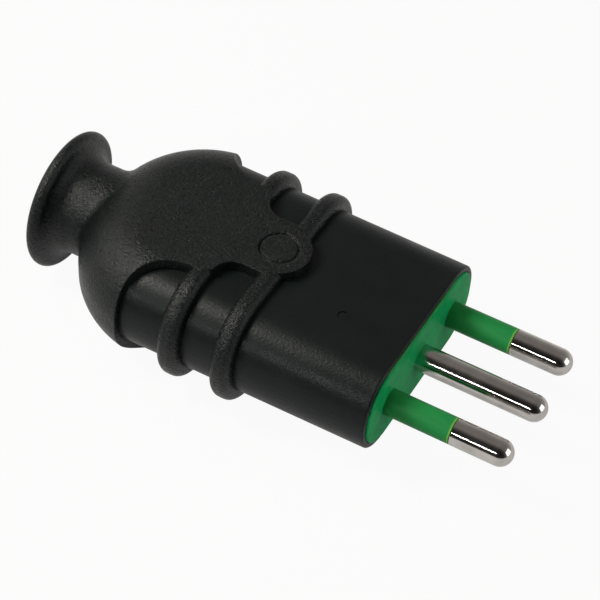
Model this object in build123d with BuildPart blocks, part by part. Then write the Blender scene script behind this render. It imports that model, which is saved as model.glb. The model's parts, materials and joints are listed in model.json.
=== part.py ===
"""Heavy-duty plug: two sleeved pins and an earth pin in line, and a rubber boot that ends in a cord bell.

Millimetres. The origin is the centre of the engagement face, on the earth pin's axis.
+X runs out along the pins, +Y across the row of pins and +Z up through the wide face of the boot.
"""

import os
from math import hypot, radians, sqrt, tan

from build123d import *

# Pins
pin_d = 4.0
pin_pitch = 9.5
pin_reach = 19.0
earth_reach = 19.6
sleeve_reach = 10.0
sleeve_d = 3.97
sleeve_core_d = 2.8
step_round = 0.15
root_d = 4.8
root_cover = 0.1
collar_d = 7.8
collar_t = 2.2

# Terminals: the barrel at each pin's rear, and its screw
barrel_d = 6.0
barrel_len = 11.0
barrel_flat_z = 2.6
barrel_chamfer = 0.4
wire_hole_d = 3.0
wire_hole_depth = 8.0
terminal_screw_d = 2.5
terminal_screw_back = 7.0
terminal_tip_z = 0.4
terminal_head_d = 4.2
terminal_head_h = 1.6

# Housing
face_land = 7.15
housing_w = 2 * (pin_pitch + face_land)
housing_h = 14.4
housing_len = 42.0
side_flat = 0.6
draft = 0.45
wall = 1.6
rim = 0.8
rear_wall = 2.0
rear_round = 3.0
nose_round = 0.35
cord_hole_d = 11.0
mark_d = 1.7
mark_depth = 0.15
mark_x, mark_y = -10.3, -4.9

# Carrier
face_proud = 0.3
face_round = 0.3
flange_t = 2.5
body_t = 4.0
fit_gap = 0.1
floor_t = 1.2
barrier_t = 1.3
barrier_len = 8.4
floor_spread = 1.2
lid_gap = 0.3
screw_room = 1.9
saddle_len = 6.0
saddle_from_rear = 6.0
cradle_d = 7.6
boss_w = 8.0
boss_h = 3.2
boss_gap = 0.8

# Pin retainer: a comb that drops in behind the collars
retainer_t = 2.2
slot_gap = 0.1
retainer_screw_drop = 1.9
retainer_screw_d = 2.2
retainer_screw_len = 5.2
retainer_head_d = 3.8
retainer_head_h = 1.4

# Cord clamp
bridge_inset = 0.3
clamp_screw_d = 2.6
clamp_screw_under = 1.0
clamp_screw_edge = 3.1
clamp_head_d = 4.4
clamp_head_h = 1.4
clamp_sink = 1.7
grip_ridge = 0.4

# Fixing screw under the boot, with its square nut
fixing_screw_d = 3.0
fixing_screw_len = 5.6
fixing_head_d = 5.4
fixing_head_h = 1.3
fixing_sink = 0.15
nut_w = 5.4
nut_t = 1.8
nut_lift = 0.6

# Screw slots
slot_w = 0.6
slot_depth = 0.6

# Boot
dome_side = 1.2
dome_over = 1.85
dome_roll_flat = 0.7
dome_corner = 16.3
dome_ahead = 2.5
dome_behind = 10.8
tongue_t = 1.7
block_ahead = 1.0
window1_in_y = 9.4
window1_len = 7.9
window1_out_y = 17.0
window2_in_y = 5.3
window2_corner = 3.2
ring1_ahead = 11.2
ring2_ahead = 19.7
ring_w = 3.1
ring_proud = 2.0
ring_under = 0.05
ring_round = 1.2
lobe_ahead = 18.6
lobe_r = 4.75
emblem_r = 2.95
emblem_line = 0.35
emblem_depth = 0.2

# Neck, bell and cord passage
neck_d = 14.4
neck_len = 2.5
neck_fillet = 2.2
bead_r = 1.0
bead_back = 5.85
bead_centre_r = 9.7
mouth_r = 8.7
mouth_sag = 1.3
cord_bore_d = 9.2
bore_len = 5.5
throat_d = 15.0
throat_len = 5.5

# Places worked out from the sizes above
front_x = -face_proud
rear_x = -housing_len
flange_back = -flange_t
body_back = flange_back - body_t
collar_front = body_back + collar_t
retainer_back = body_back - retainer_t
barrel_rear = body_back - barrel_len
screw_x = body_back - terminal_screw_back
room_w, room_h = housing_w - 2 * wall, housing_h - 2 * wall
flange_w, flange_h = housing_w - 2 * rim, housing_h - 2 * rim
body_w, body_h = room_w - 2 * fit_gap, room_h - 2 * fit_gap
floor_bottom = -body_h / 2
floor_top = floor_bottom + floor_t
lid_z = body_h / 2 - lid_gap
retainer_screw_z = body_h / 2 - retainer_screw_drop
clamp_screw_len = lid_z - clamp_sink - (floor_bottom + clamp_screw_under)
saddle_rear = rear_x + saddle_from_rear
saddle_front = saddle_rear + saddle_len
saddle_x = (saddle_rear + saddle_front) / 2
boss_front = barrel_rear - boss_gap
boss_rear = saddle_front + boss_gap
boss_x = (boss_front + boss_rear) / 2
dome_front_x = rear_x + dome_ahead
dome_rear_x = rear_x - dome_behind
neck_end = dome_rear_x - neck_len
bead_x = dome_rear_x - bead_back
bead_rear = bead_x - bead_r
flare_end = bead_x + bead_r
ring_places = (rear_x + ring1_ahead, rear_x + ring2_ahead)
lobe_x = rear_x + lobe_ahead
block_front = lobe_x + lobe_r + block_ahead
live_rows = {"line": pin_pitch, "neutral": -pin_pitch}
all_rows = {"line": pin_pitch, "earth": 0.0, "neutral": -pin_pitch}
barrier_rows = (pin_pitch / 2, -pin_pitch / 2)


def round_ends(height):
    """The corner radius that leaves the narrow sides flat over side_flat only."""
    return (height - side_flat) / 2


def shell_size(x):
    """Width and height of the drafted housing at x."""
    grown = 2 * (front_x - x) * tan(radians(draft))
    return housing_w + grown, housing_h + grown


def across(x):
    """The plane square to the plug's axis at x, with its own axes along Y and Z."""
    return Plane.YZ.offset(x)


def along(y):
    """The upright plane that holds the axis of the pin at y, with its own axes along X and Z."""
    return Plane(origin=(0, y, 0), x_dir=(1, 0, 0), z_dir=(0, -1, 0))


def level(z):
    """The level plane at z."""
    return Plane.XY.offset(z)


def row_axis(y):
    """The axis of the pin at y."""
    return Axis((0, y, 0), (1, 0, 0))


# The floor is a little wider than the room's flat bottom, as its thickness lifts it clear of the rounding
floor_w = room_w - 2 * round_ends(room_h) + floor_spread
clamp_screw_rows = (floor_w / 2 - clamp_screw_edge, clamp_screw_edge - floor_w / 2)


# Housing: a drafted tube with rounded narrow sides, a stepped mouth and a cord hole in its rear wall
with BuildPart() as housing_form:
    for x in (front_x, rear_x):
        with BuildSketch(across(x)):
            RectangleRounded(*shell_size(x), round_ends(shell_size(x)[1]))
    loft()
    fillet(housing_form.faces().sort_by(Axis.X)[0].edges(), rear_round)
    fillet(housing_form.faces().sort_by(Axis.X)[-1].edges(), nose_round)

with BuildPart() as housing:
    add(housing_form.part)
    with BuildSketch(across(front_x)):
        RectangleRounded(flange_w, flange_h, round_ends(flange_h))
    extrude(amount=flange_back - front_x, mode=Mode.SUBTRACT)
    with BuildSketch(across(front_x)):
        RectangleRounded(room_w, room_h, round_ends(room_h))
    extrude(amount=rear_x + rear_wall - front_x, mode=Mode.SUBTRACT)
    with BuildSketch(across(rear_x)):
        Circle(cord_hole_d / 2)
    extrude(amount=2 * rear_wall, mode=Mode.SUBTRACT)
    # Countersunk hole for the fixing screw, in the underside where the boot covers it
    with BuildSketch(Plane.XZ):
        with BuildLine():
            under = fixing_sink - shell_size(boss_x)[1] / 2
            Polyline(
                (boss_x, under - 1),
                (boss_x + fixing_head_d / 2, under - 1),
                (boss_x + fixing_head_d / 2, under),
                (boss_x + fixing_screw_d / 2, under + fixing_head_h),
                (boss_x + fixing_screw_d / 2, floor_bottom),
                (boss_x, floor_bottom),
                close=True,
            )
        make_face()
    revolve(axis=Axis((boss_x, 0, 0), (0, 0, 1)), mode=Mode.SUBTRACT)
    # The small round mark of the mould's gate on the wide face
    with BuildSketch(level(shell_size(mark_x)[1] / 2 - mark_depth)):
        with Locations((mark_x, mark_y)):
            Circle(mark_d / 2)
    extrude(amount=1, mode=Mode.SUBTRACT)


# Carrier: the face and pin block, the barriers between terminals, and the cord saddle on one floor
with BuildPart() as carrier:
    with BuildSketch(across(flange_back)):
        face_w, face_h = flange_w - 2 * fit_gap, flange_h - 2 * fit_gap
        RectangleRounded(face_w, face_h, round_ends(face_h))
    extrude(amount=flange_t)
    fillet(carrier.faces().sort_by(Axis.X)[-1].edges(), face_round)
    with BuildSketch(across(body_back)):
        RectangleRounded(body_w, body_h, round_ends(body_h))
    extrude(amount=body_t)
    with BuildSketch(level(floor_bottom)):
        with Locations(((body_back + saddle_rear) / 2, 0)):
            Rectangle(body_back - saddle_rear, floor_w)
    extrude(amount=floor_t)
    # Barriers, with room in front of them for the heads of the retainer's screws
    with BuildSketch(level(floor_top)):
        with Locations(*[(retainer_back - screw_room - barrier_len / 2, y) for y in barrier_rows]):
            Rectangle(barrier_len, barrier_t)
    extrude(amount=lid_z - floor_top)
    # Boss that holds the fixing screw's nut, and the saddle under the cord
    with BuildSketch(level(floor_top)):
        with Locations((boss_x, 0)):
            Rectangle(boss_front - boss_rear, boss_w)
    extrude(amount=boss_h)
    with BuildSketch(level(floor_top)):
        with Locations((saddle_x, 0)):
            Rectangle(saddle_len, floor_w)
    extrude(amount=-floor_top)
    with BuildSketch(across(saddle_rear)):
        Circle(cradle_d / 2)
    extrude(amount=saddle_len, mode=Mode.SUBTRACT)
    # Grip ridge across the cradle
    with BuildSketch(across(saddle_x - grip_ridge)):
        with BuildLine():
            CenterArc((0, 0), cradle_d / 2, 180, 180)
            CenterArc((0, 0), cradle_d / 2 - grip_ridge, 180, 180)
            Line((-cradle_d / 2, 0), (-cradle_d / 2 + grip_ridge, 0))
            Line((cradle_d / 2 - grip_ridge, 0), (cradle_d / 2, 0))
        make_face()
    extrude(amount=2 * grip_ridge)
    # Seats of the pins: the earth pin's own bore, the sleeves' bores, and the pockets of all three collars
    for name, y in all_rows.items():
        with BuildSketch(along(y)):
            face_r = pin_d / 2 if name == "earth" else sleeve_d / 2
            with BuildLine():
                Polyline(
                    (1, 0),
                    (1, face_r),
                    (-root_cover, face_r),
                    (-root_cover, root_d / 2),
                    (collar_front, root_d / 2),
                    (collar_front, collar_d / 2 + slot_gap / 2),
                    (body_back, collar_d / 2 + slot_gap / 2),
                    (body_back, 0),
                    close=True,
                )
            make_face()
        revolve(axis=row_axis(y), mode=Mode.SUBTRACT)
    # Screw holes for the retainer and for the cord clamp
    with BuildSketch(across(body_back)):
        with Locations(*[(y, retainer_screw_z) for y in barrier_rows]):
            Circle(retainer_screw_d / 2)
    extrude(amount=retainer_screw_len - retainer_t, mode=Mode.SUBTRACT)
    with BuildSketch(level(0)):
        with Locations(*[(saddle_x, y) for y in clamp_screw_rows]):
            Circle(clamp_screw_d / 2)
    extrude(amount=-(clamp_screw_len - (lid_z - clamp_sink)), mode=Mode.SUBTRACT)
    # Hole of the fixing screw, and the nut's slot, open towards the rear
    with BuildSketch(level(floor_bottom)):
        with Locations((boss_x, 0)):
            Circle(fixing_screw_d / 2)
    extrude(amount=floor_t + boss_h, mode=Mode.SUBTRACT)
    with BuildSketch(level(floor_top + nut_lift)):
        with Locations(((boss_x + nut_w / 2 + boss_rear) / 2, 0)):
            Rectangle(boss_x + nut_w / 2 - boss_rear, nut_w)
    extrude(amount=nut_t, mode=Mode.SUBTRACT)


# Pins: turned in one piece from the domed tip to the terminal barrel
def turn_pin(y, front_steps, reach):
    """The turned pin at y: front_steps are the profile's points between the tip and the collar."""
    with BuildPart() as pin:
        with BuildSketch(along(y)):
            with BuildLine():
                tip_start = reach - pin_d / 2
                CenterArc((tip_start, 0), pin_d / 2, 0, 90)
                Polyline(
                    (tip_start, pin_d / 2),
                    *front_steps,
                    (collar_front, collar_d / 2),
                    (body_back, collar_d / 2),
                    (body_back, barrel_d / 2),
                    (barrel_rear + barrel_chamfer, barrel_d / 2),
                    (barrel_rear, barrel_d / 2 - barrel_chamfer),
                    (barrel_rear, 0),
                    (reach, 0),
                )
            make_face()
        revolve(axis=row_axis(y))
        # Flat for the screw's head, behind the retainer
        with BuildSketch(level(barrel_flat_z)):
            with Locations(((barrel_rear + retainer_back) / 2, y)):
                Rectangle(retainer_back - barrel_rear, barrel_d)
        extrude(amount=barrel_d, mode=Mode.SUBTRACT)
        # Wire hole from the rear, and the screw's hole down into it
        with BuildSketch(across(barrel_rear)):
            with Locations((y, 0)):
                Circle(wire_hole_d / 2)
        extrude(amount=wire_hole_depth, mode=Mode.SUBTRACT)
        with BuildSketch(level(0)):
            with Locations((screw_x, y)):
                Circle(terminal_screw_d / 2)
        extrude(amount=barrel_d, mode=Mode.SUBTRACT)
    return pin.part


def mould_sleeve(y):
    """The insulating sleeve at y, moulded round the pin's thinner root and held by its foot."""
    with BuildPart() as sleeve:
        with BuildSketch(along(y)):
            with BuildLine():
                Polyline(
                    (sleeve_reach, sleeve_core_d / 2),
                    (sleeve_reach, sleeve_d / 2),
                    (-root_cover, sleeve_d / 2),
                    (-root_cover, root_d / 2),
                    (collar_front, root_d / 2),
                    (collar_front, sleeve_core_d / 2),
                    close=True,
                )
            make_face()
        revolve(axis=row_axis(y))
    return sleeve.part


live_steps = (
    (sleeve_reach + step_round, pin_d / 2),
    (sleeve_reach, pin_d / 2 - step_round),
    (sleeve_reach, sleeve_core_d / 2),
    (collar_front, sleeve_core_d / 2),
)
earth_steps = (
    (-root_cover, pin_d / 2),
    (-root_cover, root_d / 2),
    (collar_front, root_d / 2),
)
pins = {name: turn_pin(y, live_steps, pin_reach) for name, y in live_rows.items()}
pins["earth"] = turn_pin(0.0, earth_steps, earth_reach)
sleeves = {name: mould_sleeve(y) for name, y in live_rows.items()}


# Screws: a domed head with a slot, on a plain shank
def slotted_screw(head_plane, shank_d, shank_len, head_d, head_h):
    """A pan-headed screw whose head stands on head_plane, along its normal."""
    with BuildPart() as screw:
        with BuildSketch(head_plane):
            Circle(head_d / 2)
        extrude(amount=head_h)
        fillet(screw.edges().sort_by(Axis(head_plane.origin, head_plane.z_dir))[-1], head_h / 3)
        with BuildSketch(head_plane):
            Circle(shank_d / 2)
        extrude(amount=-shank_len)
        with BuildSketch(head_plane.offset(head_h - slot_depth)):
            Rectangle(head_d, slot_w)
        extrude(amount=slot_depth, mode=Mode.SUBTRACT)
    return screw.part


terminal_screws = {
    name: slotted_screw(
        Plane(origin=(screw_x, y, barrel_flat_z), x_dir=(1, 0, 0), z_dir=(0, 0, 1)),
        terminal_screw_d,
        barrel_flat_z - terminal_tip_z,
        terminal_head_d,
        terminal_head_h,
    )
    for name, y in all_rows.items()
}
retainer_screws = [
    slotted_screw(
        Plane(origin=(retainer_back, y, retainer_screw_z), x_dir=(0, 1, 0), z_dir=(-1, 0, 0)),
        retainer_screw_d,
        retainer_screw_len,
        retainer_head_d,
        retainer_head_h,
    )
    for y in barrier_rows
]
clamp_screws = [
    slotted_screw(
        Plane(origin=(saddle_x, y, lid_z - clamp_sink), x_dir=(1, 0, 0), z_dir=(0, 0, 1)),
        clamp_screw_d,
        clamp_screw_len,
        clamp_head_d,
        clamp_head_h,
    )
    for y in clamp_screw_rows
]


# Pin retainer: a comb across the room that stands on the floor behind the collars
with BuildPart() as pin_retainer:
    with BuildSketch(across(retainer_back)):
        RectangleRounded(body_w, body_h, round_ends(body_h))
        with Locations((0, floor_top - body_h / 2)):
            Rectangle(body_w, body_h, mode=Mode.SUBTRACT)
        for y in all_rows.values():
            with Locations((y, 0)):
                Circle(barrel_d / 2 + slot_gap, mode=Mode.SUBTRACT)
            with Locations((y, -body_h / 2)):
                Rectangle(barrel_d + 2 * slot_gap, body_h, mode=Mode.SUBTRACT)
        with Locations(*[(y, retainer_screw_z) for y in barrier_rows]):
            Circle(retainer_screw_d / 2, mode=Mode.SUBTRACT)
    extrude(amount=retainer_t)


# Cord clamp: a bridge that closes the saddle, with sunk screw heads
with BuildPart() as cord_clamp:
    with BuildSketch(across(saddle_rear + bridge_inset)):
        with Locations((0, lid_z / 2)):
            Rectangle(floor_w - 2 * bridge_inset, lid_z)
        Circle(cradle_d / 2, mode=Mode.SUBTRACT)
    extrude(amount=saddle_len - 2 * bridge_inset)
    top_edges = cord_clamp.edges().group_by(Axis.Z)[-1].filter_by(Axis.X)
    chamfer(top_edges, bridge_inset)
    with BuildSketch(level(lid_z - clamp_sink)):
        with Locations(*[(saddle_x, y) for y in clamp_screw_rows]):
            Circle(clamp_head_d / 2 + slot_gap)
    extrude(amount=clamp_sink, mode=Mode.SUBTRACT)
    with BuildSketch(level(0)):
        with Locations(*[(saddle_x, y) for y in clamp_screw_rows]):
            Circle(clamp_screw_d / 2)
    extrude(amount=lid_z, mode=Mode.SUBTRACT)


# Fixing screw and its square nut
with BuildPart() as fixing_screw:
    with BuildSketch(Plane.XZ):
        with BuildLine():
            Polyline(
                (boss_x, under),
                (boss_x + fixing_head_d / 2, under),
                (boss_x + fixing_screw_d / 2, under + fixing_head_h),
                (boss_x + fixing_screw_d / 2, under + fixing_screw_len),
                (boss_x, under + fixing_screw_len),
                close=True,
            )
        make_face()
    revolve(axis=Axis((boss_x, 0, 0), (0, 0, 1)))
    with BuildSketch(level(under)):
        with Locations((boss_x, 0)):
            Rectangle(slot_w, fixing_head_d)
    extrude(amount=slot_depth, mode=Mode.SUBTRACT)

with BuildPart() as fixing_nut:
    with BuildSketch(level(floor_top + nut_lift)):
        with Locations((boss_x, 0)):
            Rectangle(nut_w, nut_w)
            Circle(fixing_screw_d / 2, mode=Mode.SUBTRACT)
    extrude(amount=nut_t)


# Boot: the rolled dome with its tongues, windows and lobe; the two rings; the neck and the bell
def dome_size():
    """Half width and half height of the dome, over the housing at the dome's front."""
    width, height = shell_size(dome_front_x)
    return width / 2 + dome_side, height / 2 + dome_over


def tongue_z(x):
    """Height of the sloping tongue's top at x."""
    start, end = dome_size()[1], shell_size(block_front)[1] / 2 + tongue_t
    return start + (end - start) * (x - dome_front_x) / (block_front - dome_front_x)


def bead_ring(x):
    """One rounded ring round the housing at x, flush with the tongues above and below."""
    width, height = shell_size(x)[0] + 2 * ring_proud, 2 * (tongue_z(x) - ring_under)
    with BuildPart() as ring:
        with BuildSketch(across(x - ring_w / 2)):
            RectangleRounded(width, height, round_ends(height))
        extrude(amount=ring_w)
        fillet(ring.edges().group_by(Axis.X)[0] + ring.edges().group_by(Axis.X)[-1], ring_round)
    return ring.part


def on_neck(edge):
    """Whether the edge runs along the neck's side, ahead of the flare."""
    points = [edge.position_at(t) for t in (0, 0.33, 0.66, 1)]
    return all(abs(hypot(p.Y, p.Z) - neck_d / 2) < 0.02 and p.X > neck_end + 0.3 for p in points)


half_w, half_h = dome_size()
rings = [bead_ring(x) for x in ring_places]

with BuildPart() as dome_block:
    with BuildSketch(level(-half_h)):
        with BuildLine():
            Polyline((block_front, 0), (block_front, half_w), (dome_rear_x + dome_corner, half_w))
            CenterArc((dome_rear_x + dome_corner, half_w - dome_corner), dome_corner, 90, 90)
            Line((dome_rear_x, half_w - dome_corner), (dome_rear_x, 0))
            mirror(about=Plane.XZ)
        make_face()
    extrude(amount=2 * half_h)
    rolled = dome_block.edges().group_by(Axis.Z)[0] + dome_block.edges().group_by(Axis.Z)[-1]
    fillet(rolled.filter_by(lambda e: e.center().X < block_front - 0.1), half_h - dome_roll_flat)

with BuildPart() as boot:
    add(dome_block.part)
    # Everything ahead of the dome is cut away, but for the tongue and the round lobe at its end
    with BuildSketch(level(-half_h)):
        with BuildLine():
            ring1_x, ring2_x = ring_places
            ring1_front = ring1_x + ring_w / 2
            window1_end = dome_front_x + window1_len
            lobe_side = sqrt(lobe_r**2 - (ring2_x - lobe_x) ** 2)
            Polyline(
                (block_front, 0),
                (block_front, half_w + 1),
                (dome_front_x, half_w + 1),
                (dome_front_x, window1_out_y),
            )
            EllipticalCenterArc(
                (window1_end, window1_out_y), window1_len, window1_out_y - window1_in_y, 180, arc_size=90
            )
            Polyline(
                (window1_end, window1_in_y),
                (ring1_x, window1_in_y),
                (ring1_front, window2_in_y + window2_corner),
            )
            CenterArc(
                (ring1_front + window2_corner, window2_in_y + window2_corner), window2_corner, 180, 90
            )
            Polyline(
                (ring1_front + window2_corner, window2_in_y), (ring2_x, window2_in_y), (ring2_x, lobe_side)
            )
            ThreePointArc(
                (ring2_x, lobe_side),
                (lobe_x + lobe_r * sqrt(0.75), lobe_r / 2),
                (lobe_x + lobe_r, 0),
            )
            Line((lobe_x + lobe_r, 0), (block_front, 0))
        make_face()
        mirror(about=Plane.XZ)
    extrude(amount=2 * half_h, mode=Mode.SUBTRACT)
    # The tongues thin towards the lobe
    with BuildSketch(Plane.XZ):
        with BuildLine():
            Polyline(
                (dome_front_x, half_h),
                (block_front, tongue_z(block_front)),
                (block_front, half_h + 1),
                (dome_front_x, half_h + 1),
                close=True,
            )
        make_face()
        mirror(about=Plane.XZ)
    extrude(amount=half_w + 1, both=True, mode=Mode.SUBTRACT)
    for ring in rings:
        add(ring)
    # Neck and flare, turned about the cord's axis; the flare runs smoothly on to the bell's round bead
    with BuildSketch(Plane.XZ):
        with BuildLine():
            Polyline(
                (flare_end, bead_centre_r),
                (flare_end, 0),
                (saddle_rear, 0),
                (saddle_rear, neck_d / 2),
                (neck_end, neck_d / 2),
            )
            flare_sides = neck_end - flare_end, bead_centre_r - neck_d / 2
            EllipticalCenterArc((neck_end, bead_centre_r), *flare_sides, 180, arc_size=90)
        make_face()
    revolve(axis=Axis.X)
    # The neck blends into the dome
    fillet(boot.edges().filter_by(on_neck), neck_fillet)
    with BuildSketch(Plane.XZ):
        with Locations((bead_x, bead_centre_r)):
            Circle(bead_r)
        with BuildLine():
            Polyline(
                (flare_end, 0),
                (flare_end, bead_centre_r),
                (bead_rear, bead_centre_r),
                (bead_rear, 0),
                close=True,
            )
        make_face()
    revolve(axis=Axis.X)
    # Room for the housing, the throat behind it, the cord's bore and the bell's mouth
    add(housing_form.part, mode=Mode.SUBTRACT)
    with BuildSketch(Plane.XZ):
        with BuildLine():
            throat_end = rear_x - throat_len
            bore_end = throat_end - bore_len
            mouth_middle = ((bore_end + bead_rear) / 2, (cord_bore_d / 2 + mouth_r) / 2 - mouth_sag)
            Polyline(
                (bead_rear, 0),
                (saddle_rear, 0),
                (saddle_rear, throat_d / 2),
                (rear_x, throat_d / 2),
                (throat_end, cord_bore_d / 2),
                (bore_end, cord_bore_d / 2),
            )
            ThreePointArc((bore_end, cord_bore_d / 2), mouth_middle, (bead_rear, mouth_r))
            Line((bead_rear, mouth_r), (bead_rear, 0))
        make_face()
    revolve(axis=Axis.X, mode=Mode.SUBTRACT)
    # Plain circle sunk in the lobe's top
    with BuildSketch(level(tongue_z(lobe_x) - emblem_depth)):
        with Locations((lobe_x, 0)):
            Circle(emblem_r)
            Circle(emblem_r - emblem_line, mode=Mode.SUBTRACT)
    extrude(amount=1, mode=Mode.SUBTRACT)


pieces = {
    "boot": boot.part,
    "housing": housing.part,
    "carrier": carrier.part,
    "pin_retainer": pin_retainer.part,
    "cord_clamp": cord_clamp.part,
    "fixing_screw": fixing_screw.part,
    "fixing_nut": fixing_nut.part,
}
pieces |= {f"{name}_pin": part for name, part in pins.items()}
pieces |= {f"{name}_sleeve": part for name, part in sleeves.items()}
pieces |= {f"{name}_terminal_screw": part for name, part in terminal_screws.items()}
pieces |= {f"retainer_screw_{i}": part for i, part in enumerate(retainer_screws, 1)}
pieces |= {f"clamp_screw_{i}": part for i, part in enumerate(clamp_screws, 1)}

os.makedirs("parts", exist_ok=True)
for name, part in pieces.items():
    part.label = name
    export_step(part, f"parts/{name}.step")
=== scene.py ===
"""Looks of the heavy-duty plug: materials for every CAD node, a plain floor, soft light and the camera.

Metres, in the CAD model's frame: the origin is the centre of the engagement face, +X runs out along the pins.
"""

import json

import bpy
from mathutils import Matrix, Vector


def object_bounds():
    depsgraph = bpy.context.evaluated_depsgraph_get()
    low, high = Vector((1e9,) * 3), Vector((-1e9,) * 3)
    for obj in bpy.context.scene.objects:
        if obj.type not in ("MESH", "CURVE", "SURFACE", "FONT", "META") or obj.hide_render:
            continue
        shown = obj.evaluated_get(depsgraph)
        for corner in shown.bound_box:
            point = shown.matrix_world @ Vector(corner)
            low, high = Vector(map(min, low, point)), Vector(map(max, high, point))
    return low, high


# The circle on the upper lobe: its middle, its groove's radius, and how far the soft shoulders reach from it
CIRCLE_AT = (-0.0234, 0.0, 0.0090)
CIRCLE_R = 0.002775
CIRCLE_SHOULDER = 0.000555

# The light green of a highlight painted along an edge of green plastic where it catches the light, and how
# much of it shows at the very edge
EDGE_HIGHLIGHT_GREEN = (0.32, 0.62, 0.10, 1.0)
EDGE_HIGHLIGHT_SHARE = 0.55

# The floor: its width, and the shares of it that are plain white to the camera, and to metal and gloss
FLOOR_SIZE = 6.0
WHITE_TO_CAMERA = 0.94
WHITE_TO_GLOSS = 0.38

# The room's light by height, from the horizon (0) to overhead (1): pale low down, dim and warm above
LIGHT_BY_HEIGHT = [
    (0.0, (0.9, 0.9, 0.9)),
    (0.07, (0.42, 0.405, 0.39)),
    (0.22, (0.38, 0.365, 0.35)),
    (0.55, (0.25, 0.24, 0.228)),
    (0.76, (0.20, 0.191, 0.18)),
    (1.0, (0.20, 0.190, 0.18)),
]
# Its share by depth, from the near side (0) to the far side (1)
SHARE_BY_DEPTH = [
    (0.17, (0.05, 0.05, 0.05)),
    (0.33, (0.25, 0.25, 0.25)),
    (0.44, (0.8, 0.8, 0.8)),
    (0.54, (1.05, 1.05, 1.05)),
]

# Camera, from the fit to the pins, the rings and the outline: its turn is an axis times an angle in radians,
# from the frame to right, down and ahead, and its focal length is in pixels of the picture
CAMERA_TURN = (2.327444, 0.632771, -0.180191)
CAMERA_AT = (0.076476, -0.193754, 0.238535)
CAMERA_FOCAL = 2251.8
PICTURE_WIDTH = 600.0
SENSOR_WIDTH = 36.0

# The range that most of a noise's values lie in
NOISE_LOW, NOISE_HIGH = 0.3, 0.7

# Sockets of a Mix node that mixes colours
MIX_SHARE, MIX_FIRST, MIX_SECOND, MIX_RESULT = 0, 6, 7, 2

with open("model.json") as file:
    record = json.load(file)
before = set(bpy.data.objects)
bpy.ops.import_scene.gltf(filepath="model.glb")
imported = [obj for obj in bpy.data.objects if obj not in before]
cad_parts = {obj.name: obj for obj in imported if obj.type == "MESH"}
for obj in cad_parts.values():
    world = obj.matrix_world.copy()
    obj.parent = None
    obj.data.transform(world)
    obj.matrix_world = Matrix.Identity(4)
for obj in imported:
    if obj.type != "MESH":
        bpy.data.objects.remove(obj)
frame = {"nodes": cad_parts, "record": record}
cad_low, cad_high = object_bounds()
cad = frame["nodes"]


def tree_of(name):
    """A new node material, its tree and its Principled shader."""
    material = bpy.data.materials.new(name)
    material.use_nodes = True
    tree = material.node_tree
    return material, tree, tree.nodes["Principled BSDF"]


def add(tree, kind, **values):
    """One node, with values set on its properties or, where it has none of that name, on its sockets."""
    node = tree.nodes.new(kind)
    for key, value in values.items():
        if hasattr(node, key):
            setattr(node, key, value)
        else:
            node.inputs[key.replace("_", " ")].default_value = value
    return node


def place(tree):
    """The point's own place on the part, in metres."""
    return add(tree, "ShaderNodeTexCoord").outputs["Object"]


def noise(tree, where, scale, detail, roughness=0.5):
    """Cloudy noise, scale cells to the metre."""
    node = add(tree, "ShaderNodeTexNoise", Scale=scale, Detail=detail, Roughness=roughness)
    tree.links.new(where, node.inputs["Vector"])
    return node.outputs["Fac"]


def ramp(tree, source, stops):
    """A ColorRamp over source: stops are (place, colour) pairs."""
    node = add(tree, "ShaderNodeValToRGB")
    elements = node.color_ramp.elements
    while len(elements) < len(stops):
        elements.new(0.5)
    for element, (at, colour) in zip(elements, stops):
        element.position = at
        element.color = (*colour, 1.0)
    tree.links.new(source, node.inputs["Fac"])
    return node.outputs["Color"]


def shaded(tree, source, dark, light):
    """A colour that runs from dark to light over a noise's range."""
    return ramp(tree, source, [(NOISE_LOW, dark), (NOISE_HIGH, light)])


def spread(tree, source, low, high, from_low=NOISE_LOW, from_high=NOISE_HIGH):
    """source moved from the range from_low to from_high to the range low to high."""
    node = add(tree, "ShaderNodeMapRange")
    for key, value in (("From Min", from_low), ("From Max", from_high), ("To Min", low), ("To Max", high)):
        node.inputs[key].default_value = value
    tree.links.new(source, node.inputs["Value"])
    return node.outputs["Result"]


def bump(tree, height, depth, strength, under=None):
    """The normal of a skin raised by height, which is depth at 1, on top of the normal given as under."""
    node = add(tree, "ShaderNodeBump", Strength=strength, Distance=depth)
    tree.links.new(height, node.inputs["Height"])
    if under is not None:
        tree.links.new(under, node.inputs["Normal"])
    return node.outputs["Normal"]


def multiply(tree, first, second):
    """Two colours multiplied."""
    node = add(tree, "ShaderNodeMix", data_type="RGBA", blend_type="MULTIPLY")
    node.inputs[MIX_SHARE].default_value = 1.0
    tree.links.new(first, node.inputs[MIX_FIRST])
    tree.links.new(second, node.inputs[MIX_SECOND])
    return node.outputs[MIX_RESULT]


def scaled(tree, source, share):
    """A number times a constant share."""
    node = add(tree, "ShaderNodeMath", operation="MULTIPLY")
    tree.links.new(source, node.inputs[0])
    node.inputs[1].default_value = share
    return node.outputs[0]


def mixed(tree, share, first, second):
    """The first shader where share is 0 and the second where it is 1."""
    node = add(tree, "ShaderNodeMixShader")
    for socket, source in zip(node.inputs, (share, first, second)):
        tree.links.new(source, socket)
    return node.outputs[0]


def circle_shoulders(tree, here):
    """Height of the boot's skin round the groove on the upper lobe: 0 in the groove and 1 away from it."""
    away = add(tree, "ShaderNodeVectorMath", operation="DISTANCE")
    tree.links.new(here, away.inputs[0])
    away.inputs[1].default_value = CIRCLE_AT
    inner, outer = CIRCLE_R - CIRCLE_SHOULDER, CIRCLE_R + CIRCLE_SHOULDER
    across = spread(tree, away.outputs["Value"], 0.0, 1.0, inner, outer)
    heights = [(0.0, 1.0), (0.30, 0.75), (0.5, 0.0), (0.70, 0.75), (1.0, 1.0)]
    return ramp(tree, across, [(at, (height, height, height)) for at, height in heights])


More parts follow.
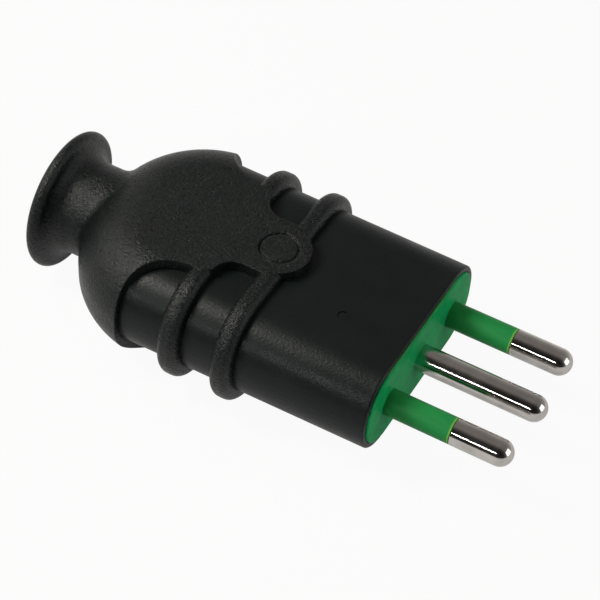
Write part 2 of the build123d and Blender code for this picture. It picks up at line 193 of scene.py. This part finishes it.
def rubber():
    """Moulded black rubber: a spark-eroded grain, faint flow clouds, pits and soft edges."""
    material, tree, shader = tree_of("boot_rubber")
    here = place(tree)
    clouds = noise(tree, here, scale=120, detail=4, roughness=0.6)
    grain = noise(tree, here, scale=2700, detail=3, roughness=0.65)
    pits = add(tree, "ShaderNodeTexVoronoi", Scale=2800.0)
    tree.links.new(here, pits.inputs["Vector"])
    tone = shaded(tree, clouds, dark=(0.0016, 0.0030, 0.0030), light=(0.0030, 0.0048, 0.0046))
    specks = ramp(tree, grain, [(0.38, (0.25, 0.25, 0.25)), (0.66, (2.6, 2.6, 2.5))])
    tree.links.new(multiply(tree, tone, specks), shader.inputs["Base Color"])
    tree.links.new(spread(tree, grain, 0.24, 0.38), shader.inputs["Roughness"])
    soft_edges = add(tree, "ShaderNodeBevel", samples=6, Radius=0.00035)
    shoulders = circle_shoulders(tree, here)
    waves = noise(tree, here, scale=420, detail=2)
    skin = bump(tree, shoulders, depth=0.00025, strength=0.8, under=soft_edges.outputs["Normal"])
    skin = bump(tree, waves, depth=0.00012, strength=0.4, under=skin)
    skin = bump(tree, grain, depth=0.00018, strength=1.0, under=skin)
    skin = bump(tree, pits.outputs["Distance"], depth=0.00006, strength=0.7, under=skin)
    tree.links.new(skin, shader.inputs["Normal"])
    shader.inputs["Specular IOR Level"].default_value = 0.31
    return material


def satin(name, dark, light, rough, gloss):
    """Black moulded plastic with a satin skin: a fine grain, slight waves and faint rubbing."""
    material, tree, shader = tree_of(name)
    here = place(tree)
    clouds = noise(tree, here, scale=90, detail=5, roughness=0.62)
    tree.links.new(shaded(tree, clouds, dark, light), shader.inputs["Base Color"])
    rubbed = noise(tree, here, scale=260, detail=4, roughness=0.55)
    tree.links.new(spread(tree, rubbed, rough - 0.03, rough + 0.05), shader.inputs["Roughness"])
    waves = noise(tree, here, scale=160, detail=2)
    grain = noise(tree, here, scale=2300, detail=2, roughness=0.6)
    skin = bump(tree, waves, depth=0.00008, strength=0.10)
    skin = bump(tree, grain, depth=0.00006, strength=0.6, under=skin)
    tree.links.new(skin, shader.inputs["Normal"])
    shader.inputs["Specular IOR Level"].default_value = gloss
    return material


def green(name, dark, light, rough, gloss, edge_axis, edge_from, edge_to):
    """Green thermoplastic: flow streaks along the pins, a little light let in, and a yellowish highlight
    painted along an edge.

    The painted highlight is where the place along edge_axis passes from edge_from to edge_to.
    """
    material, tree, shader = tree_of(name)
    here = place(tree)
    stretch = add(tree, "ShaderNodeMapping")
    stretch.inputs["Scale"].default_value = (0.25, 1.0, 1.0)
    tree.links.new(here, stretch.inputs["Vector"])
    streaks = noise(tree, stretch.outputs["Vector"], scale=420, detail=4, roughness=0.6)
    split = add(tree, "ShaderNodeSeparateXYZ")
    tree.links.new(here, split.inputs[0])
    reach = add(tree, "ShaderNodeMath", operation="ABSOLUTE")
    tree.links.new(split.outputs[edge_axis], reach.inputs[0])
    # Painted highlight: a light yellow-green laid into the colour along the edge, where the edge catches the
    # light
    edge_glint_share = spread(tree, reach.outputs[0], 0.0, EDGE_HIGHLIGHT_SHARE, edge_from, edge_to)
    edge_highlight_mix = add(tree, "ShaderNodeMix", data_type="RGBA")
    tree.links.new(edge_glint_share, edge_highlight_mix.inputs[MIX_SHARE])
    tree.links.new(shaded(tree, streaks, dark, light), edge_highlight_mix.inputs[MIX_FIRST])
    edge_highlight_mix.inputs[MIX_SECOND].default_value = EDGE_HIGHLIGHT_GREEN
    tree.links.new(edge_highlight_mix.outputs[MIX_RESULT], shader.inputs["Base Color"])
    rubbed = noise(tree, here, scale=300, detail=3)
    tree.links.new(spread(tree, rubbed, rough - 0.04, rough + 0.06), shader.inputs["Roughness"])
    waves = noise(tree, here, scale=500, detail=2)
    skin = bump(tree, waves, depth=0.00003, strength=0.25)
    tree.links.new(skin, shader.inputs["Normal"])
    shader.inputs["Specular IOR Level"].default_value = gloss
    shader.inputs["Subsurface Weight"].default_value = 0.12
    shader.inputs["Subsurface Scale"].default_value = 0.001
    shader.inputs["Subsurface Radius"].default_value = (0.2, 1.0, 0.3)
    return material


def metal(name, dark, light, rough, ring_scale, ring_depth):
    """Bright turned metal: fine rings along X and handling smudges."""
    material, tree, shader = tree_of(name)
    here = place(tree)
    smudges = noise(tree, here, scale=350, detail=4, roughness=0.6)
    tree.links.new(shaded(tree, smudges, dark, light), shader.inputs["Base Color"])
    tree.links.new(spread(tree, smudges, rough, rough + 0.08), shader.inputs["Roughness"])
    rings = add(tree, "ShaderNodeTexWave", bands_direction="X", Scale=ring_scale, Distortion=1.5)
    tree.links.new(here, rings.inputs["Vector"])
    scratches = noise(tree, here, scale=1400, detail=3)
    skin = bump(tree, rings.outputs["Fac"], depth=ring_depth, strength=0.3)
    skin = bump(tree, scratches, depth=0.00001, strength=0.35, under=skin)
    tree.links.new(skin, shader.inputs["Normal"])
    shader.inputs["Metallic"].default_value = 1.0
    return material


finish = {
    "boot_rubber": rubber(),
    "housing_black": satin(
        "housing_black", dark=(0.0044, 0.0070, 0.0068), light=(0.0074, 0.0104, 0.0100), rough=0.36, gloss=0.20
    ),
    "carrier_green": green(
        "carrier_green",
        dark=(0.006, 0.290, 0.082),
        light=(0.012, 0.380, 0.115),
        rough=0.42,
        gloss=0.035,
        edge_axis="Z",
        edge_from=0.00622,
        edge_to=0.00640,
    ),
    "sleeve_green": green(
        "sleeve_green",
        dark=(0.013, 0.200, 0.047),
        light=(0.022, 0.270, 0.066),
        rough=0.38,
        gloss=0.12,
        edge_axis="X",
        edge_from=0.00968,
        edge_to=0.00992,
    ),
    "pin_nickel": metal(
        "pin_nickel",
        dark=(0.52, 0.490, 0.460),
        light=(0.68, 0.65, 0.62),
        rough=0.07,
        ring_scale=2600.0,
        ring_depth=0.000004,
    ),
    "inner_black": satin(
        "inner_black", dark=(0.010, 0.010, 0.010), light=(0.020, 0.020, 0.020), rough=0.48, gloss=0.4
    ),
    "screw_steel": metal(
        "screw_steel",
        dark=(0.42, 0.42, 0.44),
        light=(0.58, 0.58, 0.60),
        rough=0.24,
        ring_scale=3200.0,
        ring_depth=0.000006,
    ),
    "nut_brass": metal(
        "nut_brass",
        dark=(0.62, 0.45, 0.17),
        light=(0.76, 0.58, 0.26),
        rough=0.26,
        ring_scale=1800.0,
        ring_depth=0.000006,
    ),
}
for part in frame["record"]["subparts"]:
    mesh = cad[part["node"]].data
    mesh.materials.clear()
    mesh.materials.append(finish[part["material_slot"]])


def floor_white():
    """Pale grey that keeps the plug's shadow, mostly plain white to the camera, and open from below."""
    material, tree, shader = tree_of("floor_white")
    shader.inputs["Base Color"].default_value = (0.50, 0.50, 0.50, 1)
    shader.inputs["Roughness"].default_value = 0.7
    white = add(tree, "ShaderNodeEmission", Strength=1.0)
    open_below = add(tree, "ShaderNodeBsdfTransparent")
    ray = add(tree, "ShaderNodeLightPath")
    facing = add(tree, "ShaderNodeNewGeometry")
    whiteness = add(tree, "ShaderNodeMath", operation="ADD")
    tree.links.new(scaled(tree, ray.outputs["Is Camera Ray"], WHITE_TO_CAMERA), whiteness.inputs[0])
    tree.links.new(scaled(tree, ray.outputs["Is Glossy Ray"], WHITE_TO_GLOSS), whiteness.inputs[1])
    above = mixed(tree, whiteness.outputs[0], shader.outputs[0], white.outputs[0])
    both_sides = mixed(tree, facing.outputs["Backfacing"], above, open_below.outputs[0])
    tree.links.new(both_sides, tree.nodes["Material Output"].inputs["Surface"])
    return material


# The floor lies under the bell, the plug's lowest point
bpy.ops.mesh.primitive_plane_add(size=FLOOR_SIZE, location=(0, 0, cad_low.z))
floor = bpy.context.object
floor.name = "floor"
floor.data.materials.append(floor_white())


def studio():
    """A world that is white to the camera and, to the plug, a room lit by height and by depth."""
    world = bpy.data.worlds.new("studio")
    world.use_nodes = True
    tree = world.node_tree
    room = tree.nodes["Background"]
    room.inputs["Strength"].default_value = 1.0
    towards = add(tree, "ShaderNodeTexCoord")
    split = add(tree, "ShaderNodeSeparateXYZ")
    tree.links.new(towards.outputs["Generated"], split.inputs[0])
    by_height = ramp(tree, split.outputs["Z"], LIGHT_BY_HEIGHT)
    by_depth = ramp(tree, spread(tree, split.outputs["Y"], 0.0, 1.0, -1.0, 1.0), SHARE_BY_DEPTH)
    tree.links.new(multiply(tree, by_height, by_depth), room.inputs["Color"])
    paper = add(tree, "ShaderNodeBackground", Color=(1, 1, 1, 1), Strength=1.0)
    ray = add(tree, "ShaderNodeLightPath")
    seen = mixed(tree, ray.outputs["Is Camera Ray"], room.outputs[0], paper.outputs[0])
    tree.links.new(seen, tree.nodes["World Output"].inputs["Surface"])
    return world


bpy.context.scene.world = studio()


def lamp(name, towards, distance, size, power, colour=(1, 1, 1), target=(-0.02, 0, 0)):
    """A soft box: a rectangular area light at distance from target along towards, turned to it."""
    light = bpy.data.lights.new(name, "AREA")
    light.shape = "RECTANGLE"
    light.size, light.size_y = size
    light.energy = power
    light.color = colour
    box = bpy.data.objects.new(name, light)
    away = Vector(towards).normalized()
    box.location = Vector(target) + away * distance
    box.rotation_mode = "QUATERNION"
    box.rotation_quaternion = away.to_track_quat("Z", "Y")
    bpy.context.collection.objects.link(box)
    return box


# A thin strip draws the pins' white line and the housing's long highlight
lamp("key", towards=(-0.27, -0.82, 0.50), distance=0.70, size=(0.30, 0.016), power=0.7)
# Plain light on the near side, with no highlight of its own
near = lamp("near", towards=(-0.10, -0.75, 0.65), distance=0.80, size=(0.40, 0.30), power=0.7)
near.visible_glossy = False
# A warm box over the bell lights the neck, the dome's side and the windows
lamp(
    "rear",
    towards=(-0.52, -0.30, 0.80),
    distance=0.27,
    size=(0.09, 0.12),
    power=0.68,
    colour=(1.0, 0.97, 0.90),
    target=(-0.04, 0, 0),
)
# A broad box ahead of the pins lights the green face
lamp("side", towards=(0.95, 0.15, 0.38), distance=0.80, size=(0.55, 0.50), power=1.7)


def place_camera():
    """The camera of the fit, made the scene's own."""
    lens = bpy.data.cameras.new("camera")
    lens.sensor_width = SENSOR_WIDTH
    lens.lens = CAMERA_FOCAL * SENSOR_WIDTH / PICTURE_WIDTH
    lens.clip_start = 0.01
    lens.clip_end = 20.0
    camera = bpy.data.objects.new("camera", lens)
    turn = Vector(CAMERA_TURN)
    right, down, ahead = Matrix.Rotation(turn.length, 3, turn.normalized())
    # A camera looks along its own -Z, with +Y up
    axes = Matrix((right, -down, -ahead)).transposed()
    camera.matrix_world = Matrix.LocRotScale(Vector(CAMERA_AT), axes, None)
    bpy.context.collection.objects.link(camera)
    bpy.context.scene.camera = camera


place_camera()
bpy.context.scene.view_settings.view_transform = "Standard"
